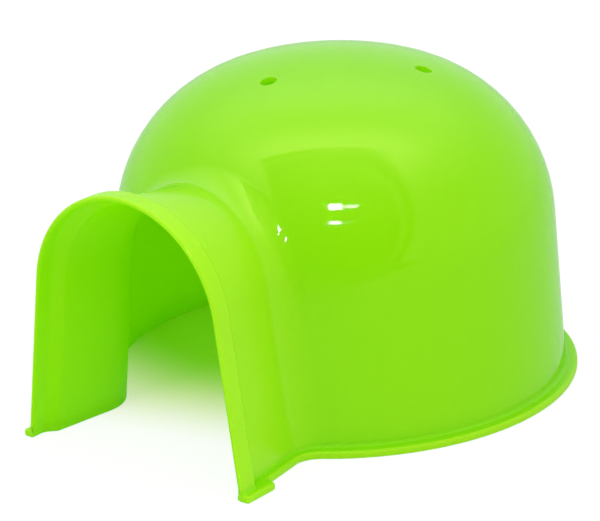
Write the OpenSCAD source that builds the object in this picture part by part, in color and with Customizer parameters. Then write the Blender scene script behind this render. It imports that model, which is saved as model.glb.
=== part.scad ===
// Rodent igloo: a thin-walled plastic shelter, open underneath, moulded in one shot.
// A drafted dome and a short flared entrance tunnel stand on one flat base flange.
// The origin is on the floor in the middle of the whole, +Z is up and the entrance faces -Y.
// The nodes are the moulding's own zones and meet face to face.

/* [Dome] */
// Outer radius of the dome wall at the floor
dome_base_r = 71.4; // [64:0.1:80]
// Height of the crown above the floor
dome_h = 102; // [96:0.5:115]
// Draft of the dome wall, in degrees
dome_draft = 3.6; // [1:0.1:5]
// Radius of the shoulder between the wall and the crown
shoulder_r = 51; // [40:0.5:56]
// Radius of the crown
crown_r = 107; // [90:1:180]
// Thickness of the moulded wall
wall = 1.6; // [1.2:0.1:3]

/* [Entrance] */
// Reach of the tunnel beyond the dome wall, along the floor
tunnel_reach = 27.6; // [24:0.1:40]
// Outer width of the mouth at the floor
mouth_w = 83.6; // [70:0.1:90]
// Outer height of the mouth
mouth_h = 84; // [76:0.5:88]
// Lean of the two legs towards each other, in degrees
leg_lean = 7.6; // [4:0.1:10]
// Narrowing of the tunnel from the mouth to the dome, in degrees
tunnel_flare = 7.4; // [3:0.1:9]
// Depth of the straight collar round the mouth
collar_d = 5.2; // [3:0.1:8]
// Step inwards from the collar to the tunnel
step_in = 3; // [1:0.1:4]
// Depth over which that step is made
step_d = 2; // [1.5:0.1:4]
// Radius of the blend between the outside of the tunnel and the dome
blend_r = 12; // [8:0.1:14]

/* [Base] */
// Thickness of the base flange and the feet
flange_t = 2.5; // [1.5:0.1:4]
// Width of the flange outside the dome wall
flange_w = 3.6; // [2:0.1:6]
// Width of the flange outside the tunnel legs
leg_flange_w = 2.3; // [1:0.1:4]
// Width of a foot outside the collar
foot_w = 2.3; // [1:0.1:4]
// Length of a foot, back from the mouth
foot_l = 13; // [10:0.1:18]
// Radius of the outer corners of a foot
foot_corner_r = 1; // [0.4:0.1:1]

/* [Vents] */
// Number of vent holes round the crown
vent_count = 3; // [1:1:6]
// Diameter of a vent hole
vent_d = 5; // [3:0.1:9]
// Crown left between the outermost vent hole and the edge of the crown
vent_margin = 0.6; // [0.1:0.1:12]
// Distance from the dome's axis back to the centre of the circle through the vent holes
vent_back = 2.5; // [0:0.1:6]
// Turn of the first vent hole from the entrance side, in degrees
vent_turn = -9; // [-30:1:30]

/* [Hidden] */

crown_green = [0.66, 0.92, 0.32];
body_green = [0.56, 0.88, 0.14];
roof_green = [0.62, 0.91, 0.22];
wall_green = [0.58, 0.89, 0.16];
collar_green = [0.64, 0.92, 0.20];
foot_green = [0.52, 0.84, 0.14];
round_fn = 180;
overshoot = 1;
far = 2 * (dome_base_r + tunnel_reach + dome_h);

// Dome profile: a drafted line, a shoulder arc and a crown arc, each tangent to the next.
crown_z = dome_h - crown_r;
line_x = dome_base_r - shoulder_r / cos(dome_draft);
quad_a = 1 + pow(tan(dome_draft), 2);
quad_b = -2 * line_x * tan(dome_draft) - 2 * crown_z;
quad_c = pow(line_x, 2) + pow(crown_z, 2) - pow(crown_r - shoulder_r, 2);
shoulder_z = (-quad_b + sqrt(pow(quad_b, 2) - 4 * quad_a * quad_c)) / (2 * quad_a);
shoulder_x = line_x - shoulder_z * tan(dome_draft);
crown_angle = atan2(shoulder_z - crown_z, shoulder_x);

// Radius of the dome at height z, with the surface moved inwards by depth
function dome_r(z, depth) =
    let (arc_r = shoulder_r - depth, top_r = crown_r - depth)
    z < shoulder_z + arc_r * sin(dome_draft)
        ? dome_base_r - z * tan(dome_draft) - depth / cos(dome_draft)
    : z < shoulder_z + arc_r * sin(crown_angle)
        ? shoulder_x + sqrt(pow(arc_r, 2) - pow(z - shoulder_z, 2))
    : sqrt(max(0, pow(top_r, 2) - pow(z - crown_z, 2)));

// Mouth outline: two leaning legs and a round arch tangent to both.
arch_z = (mouth_h - mouth_w / 2 * cos(leg_lean)) / (1 - sin(leg_lean));
arch_r = mouth_h - arch_z;
leg_top_z = arch_z + arch_r * sin(leg_lean);
mouth_y = -(dome_base_r + tunnel_reach);
collar_y = mouth_y + collar_d;

// Step behind the collar: its outer corners lie further back, so the wall keeps its thickness.
step_angle = atan2(step_in, step_d);
step_y = collar_y + wall * tan(step_angle / 2);
throat_y = step_y + step_d;
inner_throat_y = throat_y - wall * tan((step_angle - tunnel_flare) / 2);

// Offset of the tunnel's outside from the mouth outline at depth y, inwards being negative
function tunnel_u(y) = -step_in - (y - throat_y) * tan(tunnel_flare);

// Stations from the right foot to the left one, each with its place on the mouth outline and its
// outward angle
leg_steps = 6;
arch_steps = 32;
function leg_x(z) = mouth_w / 2 - z * tan(leg_lean);
right_leg = [for (i = [0 : leg_steps - 1])
    let (share = i / leg_steps, z = flange_t + share * (leg_top_z - flange_t))
    [leg_x(z), z, leg_lean * share]];
arch_top = [for (i = [0 : arch_steps])
    let (angle = leg_lean + (180 - 2 * leg_lean) * i / arch_steps)
    [arch_r * cos(angle), arch_z + arch_r * sin(angle), angle]];
left_leg = [for (i = [leg_steps - 1 : -1 : 0])
    let (place = right_leg[i])
    [-place[0], place[1], 180 - place[2]]];
stations = concat(right_leg, arch_top, left_leg);

// Point at offset u from a station, and the depth of the dome surface there
function at_x(place, u) = place[0] + u * cos(place[2]);
function at_z(place, u) = place[1] + u * sin(place[2]);
function dome_y(place, u, depth) =
    -sqrt(max(0, pow(dome_r(at_z(place, u), depth), 2) - pow(at_x(place, u), 2)));

// Blend in a station's plane: a circle tangent to the tunnel line and to the dome curve.
// Its contact on the dome is found by halving the interval where the gap changes sign.
slope_gap = 0.01;
halvings = 24;
function dome_slope(place, u, depth) =
    (dome_y(place, u + slope_gap, depth) - dome_y(place, u - slope_gap, depth)) / (2 * slope_gap);
function dome_normal(place, u, depth) =
    let (slope = dome_slope(place, u, depth), length = sqrt(1 + slope * slope))
    [slope / length, -1 / length];
function blend_centre(place, u, depth, radius) =
    [u, dome_y(place, u, depth)] + radius * dome_normal(place, u, depth);
function line_gap(centre, depth, radius) =
    (centre[0] - tunnel_u(centre[1])) * cos(tunnel_flare) + depth - radius;
function contact_u(place, depth, radius, low, high, left) =
    let (middle = (low + high) / 2)
    left == 0 ? middle
    : line_gap(blend_centre(place, middle, depth, radius), depth, radius) > 0
        ? contact_u(place, depth, radius, low, middle, left - 1)
    : contact_u(place, depth, radius, middle, high, left - 1);

// The search starts well inside the tunnel line and ends past the blend.
search_low = -(step_in + tunnel_reach * tan(tunnel_flare) + 4 * wall);
search_high = 2 * blend_r;
function find_contact(place, depth, radius) =
    contact_u(place, depth, radius, search_low, search_high, halvings);

// Width of dome surface that the tunnel node carries beyond the blend
seat_w = 1;
blend_steps = 7;
outer_contacts = [for (place = stations) find_contact(place, 0, blend_r)];
inner_contacts = [for (place = stations) find_contact(place, wall, blend_r + wall)];

// Points of a blend from the tunnel line to the dome, as offset and depth
function blend_points(place, contact, depth, radius) =
    let (
        centre = blend_centre(place, contact, depth, radius),
        normal = dome_normal(place, contact, depth),
        last = atan2(-normal[1], -normal[0]),
        first = atan2(-sin(tunnel_flare), -cos(tunnel_flare)) + 360)
    [for (i = [0 : blend_steps])
        let (angle = first + (last - first) * i / blend_steps)
        centre + radius * [cos(angle), sin(angle)]];

// Closed section of the tunnel wall at a station, outside first and then back along the inside
function section(i) =
    let (
        place = stations[i],
        seat_u = outer_contacts[i] + seat_w,
        half_u = (inner_contacts[i] + seat_u) / 2,
        outside = blend_points(place, outer_contacts[i], 0, blend_r),
        inside = blend_points(place, inner_contacts[i], wall, blend_r + wall))
    concat(
        [[0, collar_y], [0, step_y], [-step_in, throat_y]],
        outside,
        [[seat_u, dome_y(place, seat_u, 0)], [seat_u, dome_y(place, seat_u, wall)]],
        [[half_u, dome_y(place, half_u, wall)]],
        [for (k = [blend_steps : -1 : 0]) inside[k]],
        [[tunnel_u(inner_throat_y) - wall, inner_throat_y], [-wall, collar_y]]);
function placed(i) =
    [for (p = section(i)) [at_x(stations[i], p[0]), p[1], at_z(stations[i], p[0])]];

// Rings of points joined into one closed skin. The first half of a ring faces the second half
// across the wall, so each end is closed by a strip from one to the other.
module skin(rings) {
    count = len(rings[0]);
    last = len(rings) - 1;
    sides = [for (i = [0 : last - 1], k = [0 : count - 1])
        let (a = i * count + k, b = i * count + (k + 1) % count)
        [a, a + count, b + count, b]];
    strip = [for (k = [0 : count / 2 - 2]) [k, k + 1, count - 2 - k, count - 1 - k]];
    far_end = [for (f = strip) [for (n = [3 : -1 : 0]) last * count + f[n]]];
    faces = [for (f = concat(sides, strip, far_end), half = [0, 1])
        half == 0 ? [f[0], f[1], f[2]] : [f[0], f[2], f[3]]];
    polyhedron(points = [for (ring = rings) each ring], faces = faces, convexity = 6);
}

// The modules below measure from the dome's axis, and this sets them in the part's own frame.
module in_frame() {
    translate([0, (tunnel_reach - flange_w) / 2, 0]) children();
}

// Sector of a ring one wall thick, between two angles in degrees
module ring_sector(radius, low, high) {
    intersection() {
        difference() {
            circle(r = radius, $fn = round_fn);
            circle(r = radius - wall, $fn = round_fn);
        }
        polygon([[0, 0], [far * cos(low), far * sin(low)], [far * cos(high), far * sin(high)]]);
    }
}

// Half section of the dome's wall and shoulder, filled and with the surface moved inwards by depth.
// The drafted line ends a little inside the shoulder's circle, so that the two cross cleanly.
line_bite = 0.02;
module dome_section(depth) {
    arc_r = shoulder_r - depth;
    line_top = shoulder_z + arc_r * sin(dome_draft);
    polygon([[-overshoot, -overshoot], [dome_r(-overshoot, depth), -overshoot],
        [dome_r(line_top, depth) - line_bite, line_top], [-overshoot, line_top]]);
    translate([shoulder_x, shoulder_z]) circle(r = arc_r, $fn = round_fn);
}

// Drafted wall and shoulder of the dome, from the top of the flange to the edge of the crown
module dome_wall() {
    edge_x = (flange_t - crown_z) / tan(crown_angle);
    rotate_extrude($fn = round_fn)
        intersection() {
            difference() {
                dome_section(0);
                dome_section(wall);
            }
            polygon([[edge_x, flange_t], [far, flange_t],
                [far * cos(crown_angle), crown_z + far * sin(crown_angle)]]);
        }
}

// Arch-shaped cutter that opens the dome where the tunnel seats
module tunnel_cutter() {
    outline = [for (i = [0 : len(stations) - 1])
        let (u = outer_contacts[i] + seat_w)
        [at_x(stations[i], u), at_z(stations[i], u)]];
    foot_x = outline[0][0];
    rotate([90, 0, 0])
        linear_extrude(height = far)
            polygon(concat(outline, [[-foot_x, -overshoot], [foot_x, -overshoot]]));
}

// The circle through the vent holes is as wide as the inner edge of the crown leaves. Its vent
// nearest to the back lies vent_reach from the dome's axis.
vent_angles = [for (i = [0 : vent_count - 1]) vent_turn - 90 + i * 360 / vent_count];
vent_reach = (crown_r - wall) * cos(crown_angle) - vent_margin - vent_d / 2;
back_share = max([for (angle = vent_angles) sin(angle)]);
vent_ring_r = sqrt(pow(vent_reach, 2) - pow(vent_back, 2) * (1 - pow(back_share, 2)))
    - vent_back * back_share;
module vents() {
    translate([0, vent_back, shoulder_z])
        for (angle = vent_angles)
            rotate([0, 0, angle])
                translate([vent_ring_r, 0, 0])
                    cylinder(d = vent_d, h = far, $fn = 48);
}

module crown_cap() {
    color(crown_green)
        in_frame()
            difference() {
                rotate_extrude($fn = round_fn)
                    translate([0, crown_z]) ring_sector(crown_r, crown_angle, 90);
                vents();
            }
}

// Part of the tunnel between two stations, counted from the foot of the right leg
module tunnel_part(first, last) {
    in_frame()
        skin([for (i = [first : last]) placed(i)]);
}

module tunnel_roof() {
    color(roof_green) tunnel_part(leg_steps, leg_steps + arch_steps);
}

module right_tunnel_wall() {
    color(wall_green) tunnel_part(0, leg_steps);
}

module left_tunnel_wall() {
    color(wall_green) mirror([1, 0, 0]) tunnel_part(0, leg_steps);
}

// Solid arch of the mouth, moved inwards by depth
module arch_section(depth) {
    foot_x = leg_x(0) - depth / cos(leg_lean);
    top_x = (arch_r - depth) * cos(leg_lean);
    top_z = arch_z + (arch_r - depth) * sin(leg_lean);
    union() {
        polygon([[-foot_x, 0], [foot_x, 0], [top_x, top_z], [-top_x, top_z]]);
        translate([0, arch_z]) circle(r = arch_r - depth, $fn = round_fn);
    }
}

module entrance_collar() {
    color(collar_green)
        in_frame()
            translate([0, collar_y, 0])
                rotate([90, 0, 0])
                    linear_extrude(height = collar_d)
                        difference() {
                            arch_section(0);
                            arch_section(wall);
                            translate([-far / 2, -far]) square([far, far + flange_t]);
                        }
}

// Plan of the dome and the tunnel strip, its two notches filled to a round of radius blend.
// The strip's half width is half_w where the tunnel starts and follows the flare from there.
// The last point of a round lies a little inside the dome's circle, so that the two cross cleanly.
notch_steps = 16;
notch_bite = 0.001;
module plan(radius, half_w, blend, front_y) {
    reach = (half_w + throat_y * tan(tunnel_flare)) * cos(tunnel_flare) + blend;
    run = -sqrt(pow(radius + blend, 2) - reach * reach);
    centre = [reach * cos(tunnel_flare) - run * sin(tunnel_flare),
        reach * sin(tunnel_flare) + run * cos(tunnel_flare)];
    first = 180 + tunnel_flare;
    last = 180 + atan2(centre[1], centre[0]);
    round_points = [for (i = [0 : notch_steps - 1])
        let (angle = first + (last - first) * i / notch_steps)
        centre + blend * [cos(angle), sin(angle)]];
    front_x = half_w - (front_y - throat_y) * tan(tunnel_flare);
    right = concat([[front_x, front_y]], round_points,
        [centre * radius / (radius + blend) * (1 - notch_bite)]);
    left = [for (i = [len(right) - 1 : -1 : 0]) [-right[i][0], right[i][1]]];
    circle(r = radius, $fn = round_fn);
    polygon(concat(right, left));
}

// Half width of the tunnel's outside at the top of the flange, where the tunnel starts
throat_half_w = leg_x(flange_t) - step_in;
foot_back_y = mouth_y + foot_l;

module base_flange() {
    linear_extrude(height = flange_t)
        difference() {
            plan(dome_base_r + flange_w, throat_half_w + leg_flange_w,
                blend_r - leg_flange_w, foot_back_y);
            plan(dome_r(flange_t, wall), throat_half_w - wall / cos(tunnel_flare),
                blend_r + wall, mouth_y - overshoot);
        }
}

// Dome from the flange to the edge of the crown, with the opening for the tunnel
module dome_body() {
    color(body_green)
        in_frame()
            union() {
                base_flange();
                difference() {
                    dome_wall();
                    tunnel_cutter();
                    vents();
                }
            }
}

// Foot under one leg: a tab wider than the flange, with rounded outer corners
module foot() {
    inner_x = leg_x(flange_t) - wall;
    outer_x = leg_x(flange_t) + foot_w;
    back_x = throat_half_w - wall / cos(tunnel_flare) - (foot_back_y - throat_y) * tan(tunnel_flare);
    inset = foot_corner_r;
    linear_extrude(height = flange_t)
        union() {
            polygon([[inner_x, mouth_y], [outer_x - inset, mouth_y], [outer_x - inset, foot_back_y],
                [back_x, foot_back_y], [tunnel_u(inner_throat_y) + inner_x, inner_throat_y],
                [inner_x, collar_y]]);
            translate([outer_x - 2 * inset, mouth_y + inset]) square([2 * inset, foot_l - 2 * inset]);
            for (corner_y = [mouth_y + inset, foot_back_y - inset])
                translate([outer_x - inset, corner_y]) circle(r = inset, $fn = 48);
        }
}

module right_foot() {
    color(foot_green)
        in_frame() foot();
}

module left_foot() {
    color(foot_green)
        in_frame() mirror([1, 0, 0]) foot();
}

crown_cap();
dome_body();
tunnel_roof();
left_tunnel_wall();
right_tunnel_wall();
entrance_collar();
left_foot();
right_foot();
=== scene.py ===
"""Looks of the rodent igloo: a thin glossy lime-green moulding in a white light tent.

The shapes are swept from the same named sizes as the solids, in millimetres round the dome's axis,
and are moved into the part's frame when a mesh is made. Finishes, floor and lamp are in metres.
"""

from __future__ import annotations

import logging
import math
from dataclasses import dataclass, field
from enum import Enum
from functools import cached_property, partial
from typing import Callable, Sequence

import bpy
import numpy as np
from mathutils import Matrix, Vector
from mathutils.geometry import delaunay_2d_cdt


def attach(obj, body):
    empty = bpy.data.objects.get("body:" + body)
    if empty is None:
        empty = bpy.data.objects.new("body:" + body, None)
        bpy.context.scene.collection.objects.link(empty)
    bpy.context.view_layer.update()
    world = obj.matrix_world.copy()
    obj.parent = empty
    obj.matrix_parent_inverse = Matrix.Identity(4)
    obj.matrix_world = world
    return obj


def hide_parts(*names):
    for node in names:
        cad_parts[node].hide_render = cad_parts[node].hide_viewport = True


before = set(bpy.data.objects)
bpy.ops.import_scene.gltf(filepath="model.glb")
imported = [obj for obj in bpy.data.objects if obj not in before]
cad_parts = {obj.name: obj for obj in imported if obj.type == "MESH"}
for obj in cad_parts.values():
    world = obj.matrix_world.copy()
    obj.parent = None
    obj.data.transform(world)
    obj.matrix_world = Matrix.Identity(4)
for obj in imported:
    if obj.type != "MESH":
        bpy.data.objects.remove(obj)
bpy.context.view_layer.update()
LOG = logging.getLogger("igloo")
MM = 0.001
AXIS_Y = 12.0
QUARTER = math.pi / 2
WHITE = (1.0, 1.0, 1.0, 1.0)

Pair = Band = tuple[float, float]
Triple = tuple[float, float, float]
Colour = tuple[float, float, float, float]
Placed = tuple[list[float], list[float]]
Surface = tuple[np.ndarray, np.ndarray]


def unit(vectors: np.ndarray) -> np.ndarray:
    """Returns the vectors along the last axis at length 1."""
    return vectors / np.maximum(np.linalg.norm(vectors, axis=-1, keepdims=True), 1e-12)


def smoothstep(low: float, high: float, value: float) -> float:
    """Returns 0 below low, 1 above high and a smooth rise between them."""
    share = min(1.0, max(0.0, (value - low) / (high - low)))
    return share * share * (3 - 2 * share)


def shares(steps: int) -> list[float]:
    """Returns even shares from 0 to 1."""
    return [i / steps for i in range(steps + 1)]


def heading(angle: float) -> np.ndarray:
    """Returns the plan vector of length 1 at an angle."""
    return np.array([math.cos(angle), math.sin(angle)])


def cross(one: Sequence[float], two: Sequence[float]) -> float:
    """Returns the cross product of two plan vectors."""
    return float(one[0] * two[1] - one[1] * two[0])


def split(table: Sequence[Sequence[Placed]]) -> Surface:
    """Returns the points and the normals of a table of placed points."""
    both = np.array(table)
    return both[:, :, 0], both[:, :, 1]


def add_object(name: str, data: bpy.types.ID) -> bpy.types.Object:
    """Returns a new object in the scene."""
    made = bpy.data.objects.new(name, data)
    bpy.context.scene.collection.objects.link(made)
    return made


# ---------------------------------------------------------------- shapes


@dataclass(frozen=True)
class Dome:
    """Drafted wall, shoulder and crown of the dome, each tangent to the next."""

    base_r: float = 71.4
    height: float = 102.0
    draft: float = math.radians(3.6)
    shoulder_r: float = 51.0
    crown_r: float = 107.0
    wall: float = 1.6
    foot_z: float = 3.8

    @cached_property
    def sides(self) -> tuple[Pair, Pair]:
        """Depth and direction of the outer and the inner surface."""
        return (0.0, 1.0), (self.wall, -1.0)

    @cached_property
    def crown_z(self) -> float:
        """Height of the crown's centre."""
        return self.height - self.crown_r

    @cached_property
    def shoulder(self) -> Pair:
        """Finds the centre of the shoulder, which is tangent to the wall and the crown.

        Returns:
            Its radius and height.
        """
        line_x = self.base_r - self.shoulder_r / math.cos(self.draft)
        slope = math.tan(self.draft)
        a = 1 + slope**2
        b = -2 * line_x * slope - 2 * self.crown_z
        c = line_x**2 + self.crown_z**2 - (self.crown_r - self.shoulder_r) ** 2
        z = (-b + math.sqrt(b * b - 4 * a * c)) / (2 * a)
        return line_x - z * slope, z

    @cached_property
    def crown_angle(self) -> float:
        """Angle at which the shoulder gives way to the crown."""
        return math.atan2(self.shoulder[1] - self.crown_z, self.shoulder[0])

    def wall_top(self, depth: float) -> float:
        """Returns the height at which the drafted wall ends, depth below the surface."""
        return self.shoulder[1] + (self.shoulder_r - depth) * math.sin(self.draft)

    def wall_radius(self, z: float, depth: float) -> float:
        """Returns the radius of the drafted wall at a height."""
        return self.base_r - z * math.tan(self.draft) - depth / math.cos(self.draft)

    def radius(self, z: float, depth: float) -> float:
        """Returns the radius at a height.

        Args:
            z: Height above the floor.
            depth: Distance below the outer surface.

        Returns:
            The radius round the dome's axis.
        """
        x, centre_z = self.shoulder
        arc, top = self.shoulder_r - depth, self.crown_r - depth
        if z < self.wall_top(depth):
            return self.wall_radius(z, depth)
        if z < centre_z + arc * math.sin(self.crown_angle):
            return x + math.sqrt(arc**2 - (z - centre_z) ** 2)
        return math.sqrt(max(0.0, top**2 - (z - self.crown_z) ** 2))

    def front_y(self, x: float, z: float, depth: float) -> float:
        """Returns the depth coordinate of the dome's front at x and z."""
        return -math.sqrt(max(0.0, self.radius(z, depth) ** 2 - x * x))

    def row_of(self, z: float, depth: float) -> float:
        """Finds the row of a height.

        Args:
            z: Height above the floor.
            depth: Distance below the outer surface.

        Returns:
            The row value: 0 to 1 up the wall, 1 to 2 up the shoulder.
        """
        top = self.wall_top(depth)
        if z <= top:
            return (z - self.foot_z) / (top - self.foot_z)
        angle = math.asin((z - self.shoulder[1]) / (self.shoulder_r - depth))
        return 1 + (angle - self.draft) / (self.crown_angle - self.draft)

    def place(self, row: float, turn: float, depth: float) -> Placed:
        """Places a point of the wall or shoulder.

        Args:
            row: Row value, 0 to 2.
            turn: Angle round the axis, in radians.
            depth: Distance below the outer surface.

        Returns:
            The point and the outward normal.
        """
        if row <= 1:
            z, angle = self.foot_z + row * (self.wall_top(depth) - self.foot_z), self.draft
            r = self.wall_radius(z, depth)
        else:
            angle = self.draft + (row - 1) * (self.crown_angle - self.draft)
            arc = self.shoulder_r - depth
            r, z = self.shoulder[0] + arc * math.cos(angle), self.shoulder[1] + arc * math.sin(angle)
        c, s = math.cos(turn), math.sin(turn)
        return [r * c, r * s, z], [math.cos(angle) * c, math.cos(angle) * s, math.sin(angle)]

    def crown_point(self, x: float, y: float, depth: float) -> Placed:
        """Returns the point of the crown above x and y, and its outward normal."""
        top = self.crown_r - depth
        rise = math.sqrt(top * top - x * x - y * y)
        return [x, y, self.crown_z + rise], [x / top, y / top, rise / top]


@dataclass(frozen=True)
class Mouth:
    """Outline of the mouth: two leaning legs and a round arch tangent to both."""

    width: float = 83.6
    height: float = 84.0
    lean: float = math.radians(7.6)
    foot_z: float = Dome.foot_z
    leg_steps: int = 10
    arch_steps: int = 72

    @cached_property
    def arch_z(self) -> float:
        """Height of the arch's centre."""
        return (self.height - self.width / 2 * math.cos(self.lean)) / (1 - math.sin(self.lean))

    def leg_x(self, z: float) -> float:
        """Returns the half width of the mouth at a height on its legs."""
        return self.width / 2 - z * math.tan(self.lean)

    @cached_property
    def stations(self) -> list[Triple]:
        """Spreads stations over the outline.

        Returns:
            Their places from the right foot to the left foot: x, z and outward angle.
        """
        arch_r = self.height - self.arch_z
        leg_top = self.arch_z + arch_r * math.sin(self.lean)
        right, arch = [], []
        for share in shares(self.leg_steps)[:-1]:
            z = self.foot_z + share * (leg_top - self.foot_z)
            right.append((self.leg_x(z), z, self.lean * share))
        for share in shares(self.arch_steps):
            angle = self.lean + (math.pi - 2 * self.lean) * share
            arch.append((arch_r * math.cos(angle), self.arch_z + arch_r * math.sin(angle), angle))
        return right + arch + [(-x, z, math.pi - angle) for x, z, angle in reversed(right)]


@dataclass
class Chain:
    """One side of the wall in a station's plane: offset, depth and direction of each point."""

    points: list[Pair] = field(default_factory=list)
    tangents: list[Pair] = field(default_factory=list)

    def add(self, point: Sequence[float], tangent: Sequence[float]) -> None:
        """Adds one point with its direction."""
        length = math.hypot(*tangent)
        self.points.append((float(point[0]), float(point[1])))
        self.tangents.append((float(tangent[0] / length), float(tangent[1] / length)))

    def corner(
        self, corner: np.ndarray, before: np.ndarray, after: np.ndarray, radius: float, steps: int
    ) -> None:
        """Adds the round of a corner.

        Args:
            corner: Where the two lines would meet.
            before: Direction of the line that comes in.
            after: Direction of the line that goes out.
            radius: Radius of the round.
            steps: Number of segments.
        """
        turn = math.atan2(cross(before, after), float(before @ after))
        start = corner - before * radius * math.tan(abs(turn) / 2)
        centre = start + math.copysign(radius, turn) * np.array([-before[1], before[0]])
        for share in shares(steps):
            c, s = heading(turn * share)
            spun, way = (np.array([c * x - s * y, s * x + c * y]) for x, y in (start - centre, before))
            self.add(centre + spun, way)


@dataclass(frozen=True)
class Tunnel:
    """Collar, joggle, flared tunnel and its blend into the dome, as sections along the mouth."""

    dome: Dome
    mouth: Mouth
    reach: float = 27.6
    flare: float = math.radians(7.4)
    collar_d: float = 5.2
    step_in: float = 3.0
    step_d: float = 2.0
    blend_r: float = 12.0
    seat_w: float = 1.0
    seam_d: float = 1.2
    rim: float = 0.75
    crest_r: float = 0.9
    throat_r: float = 1.8
    inner_ease: float = 1.2
    inner_start: float = 0.2
    inner_crest_r: float = 2.4
    inner_throat_r: float = 3.0
    foot_l: float = 13.0
    foot_corner_r: float = 1.5
    foot_inner_r: float = 1.2
    foot_edge_r: float = 1.1
    arc_steps: int = 6
    collar_steps: int = 4
    line_steps: int = 4
    blend_steps: int = 16
    seat_steps: int = 2
    halvings: int = 36
    probe: float = 0.005

    @cached_property
    def front(self) -> float:
        """Depth coordinate of the mouth."""
        return -(self.dome.base_r + self.reach)

    @cached_property
    def collar_y(self) -> float:
        """Depth coordinate of the collar's inner end."""
        return self.front + self.collar_d

    @cached_property
    def seam_y(self) -> float:
        """Depth coordinate at which the collar's mesh meets the tunnel's."""
        return self.collar_y - self.seam_d

    @cached_property
    def seam_index(self) -> int:
        """Chain index at which the collar's mesh ends."""
        return self.arc_steps + self.collar_steps

    @cached_property
    def throat_y(self) -> float:
        """Depth coordinate at which the step ends on the outside."""
        slope = math.atan2(self.step_in, self.step_d)
        return self.collar_y + self.dome.wall * math.tan(slope / 2) + self.step_d

    @cached_property
    def foot_back(self) -> float:
        """Depth coordinate of the back of a foot."""
        return self.front + self.foot_l

    @cached_property
    def line(self) -> np.ndarray:
        """Direction of the flared tunnel in a station's plane."""
        return np.array([-math.sin(self.flare), math.cos(self.flare)])

    def line_u(self, y: float, depth: float) -> float:
        """Returns the offset of the tunnel's surface at a depth coordinate."""
        return -self.step_in - (y - self.throat_y) * math.tan(self.flare) - depth / math.cos(self.flare)

    def surface_y(self, place: Triple, u: float, depth: float) -> float:
        """Returns the dome's front at an offset from a station."""
        x, z, angle = place
        return self.dome.front_y(x + u * math.cos(angle), z + u * math.sin(angle), depth)

    def slope(self, place: Triple, u: float, depth: float) -> float:
        """Returns the slope of the dome's front in a station's plane."""
        ahead, behind = (self.surface_y(place, u + gap, depth) for gap in (self.probe, -self.probe))
        return (ahead - behind) / (2 * self.probe)

    def blend_centre(self, place: Triple, u: float, depth: float) -> np.ndarray:
        """Returns the centre of the blend's circle that touches the dome's front at an offset."""
        slope, radius = self.slope(place, u, depth), self.blend_r + depth
        length = math.sqrt(1 + slope * slope)
        return np.array([u + radius * slope / length, self.surface_y(place, u, depth) - radius / length])

    def contact(self, place: Triple, depth: float) -> float:
        """Finds where the blend touches the dome, by halving.

        Args:
            place: Station on the mouth's outline.
            depth: Distance below the outer surface.

        Returns:
            The offset from the station.
        """
        low = -(self.step_in + self.reach * math.tan(self.flare) + 4 * self.dome.wall)
        high = 2 * self.blend_r
        for _ in range(self.halvings):
            middle = (low + high) / 2
            centre = self.blend_centre(place, middle, depth)
            gap = (centre[0] - self.line_u(centre[1], 0)) * math.cos(self.flare) - self.blend_r
            low, high = (low, middle) if gap > 0 else (middle, high)
        return (low + high) / 2

    @cached_property
    def foot_line(self) -> list[float]:
        """Spreads points along the tunnel beside a foot's back end.

        Returns:
            Their depth coordinates.
        """
        edge = self.foot_back - self.foot_edge_r
        span = self.foot_edge_r + self.foot_inner_r
        turn = [edge - self.foot_corner_r * (1 - share) for share in shares(self.arc_steps)[:-1]]
        return turn + [edge + span * share for share in shares(self.arc_steps)]

    def add_collar(self, chain: Chain, depth: float) -> None:
        """Adds the rounded rim and the collar as far as the seam.

        Args:
            chain: The chain that grows.
            depth: 0 for the outside, the wall for the inside.
        """
        side = 1.0 if depth == 0 else -1.0
        for share in shares(self.arc_steps):
            c, s = heading(QUARTER * (share - 1))
            chain.add((side * self.rim * (c - 1) - depth, self.front + self.rim * (1 + s)), (-side * s, c))
        start = self.front + self.rim
        for share in shares(self.collar_steps)[1:]:
            chain.add((-depth, start + share * (self.seam_y - start)), (0, 1))

    def add_step(self, chain: Chain, depth: float) -> None:
        """Adds the step behind the collar, which is gentler on the inside.

        Args:
            chain: The chain that grows.
            depth: 0 for the outside, the wall for the inside.
        """
        if depth == 0:
            crest_r, throat_r = self.crest_r, self.throat_r
            step = unit(np.array([-self.step_in, self.step_d]))
            crest = np.array([0.0, self.throat_y - self.step_d])
            throat = np.array([-self.step_in, self.throat_y])
        else:
            crest_r, throat_r = self.inner_crest_r, self.inner_throat_r
            step = unit(np.array([-self.step_in, self.step_d + self.inner_ease]))
            crest = np.array([-depth, self.collar_y - self.inner_start])
            span = np.array([self.line_u(self.collar_y, depth), self.collar_y]) - crest
            throat = crest + step * cross(span, self.line) / cross(step, self.line)
        chain.corner(crest, np.array([0.0, 1.0]), step, crest_r, self.arc_steps)
        chain.corner(throat, step, self.line, throat_r, self.arc_steps)

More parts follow.
